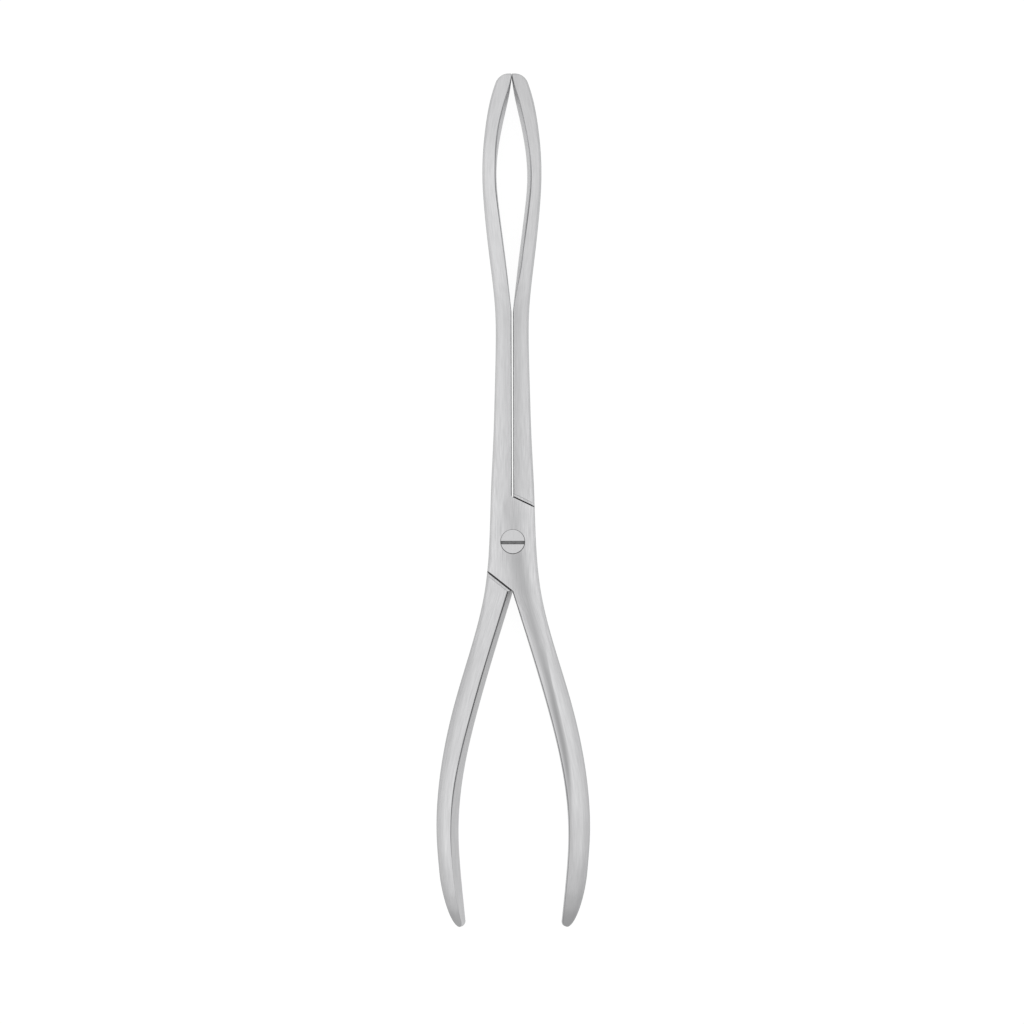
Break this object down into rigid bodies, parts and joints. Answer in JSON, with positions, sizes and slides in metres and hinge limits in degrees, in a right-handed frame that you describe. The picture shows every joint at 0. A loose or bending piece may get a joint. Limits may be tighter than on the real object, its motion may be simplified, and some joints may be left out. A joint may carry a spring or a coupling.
{
  "type": "whelping forceps",
  "caption": "Long straight whelping forceps with a bowed jaw loop, bowed plain handles, a diagonal lap joint and a slotted pivot screw.",
  "frame": {"origin": "on the pivot screw's axis, in the plane of the flat back face that the forceps rest on", "axes": "+Y along the forceps from the screw to the jaw tips, +Z along the screw's axis out of the front face, +X towards the rear half's jaw"},
  "size_m": [0.0504, 0.2802, 0.009],
  "materials": {
    "satin_steel": "satin, brushed lengthwise",
    "screw_steel": "satin, filed flush with the joint"
  },
  "bodies": {
    "rear": {"rear_half": "satin_steel", "pivot_screw": "screw_steel"},
    "front": {"front_half": "satin_steel"}
  },
  "joints": [
    {"name": "jaw_hinge", "type": "hinge", "parent": "rear", "child": "front", "pos_m": [0, 0, 0.0045], "axis": [0, 0, 1], "range_deg": [0, 60]}
  ]
}
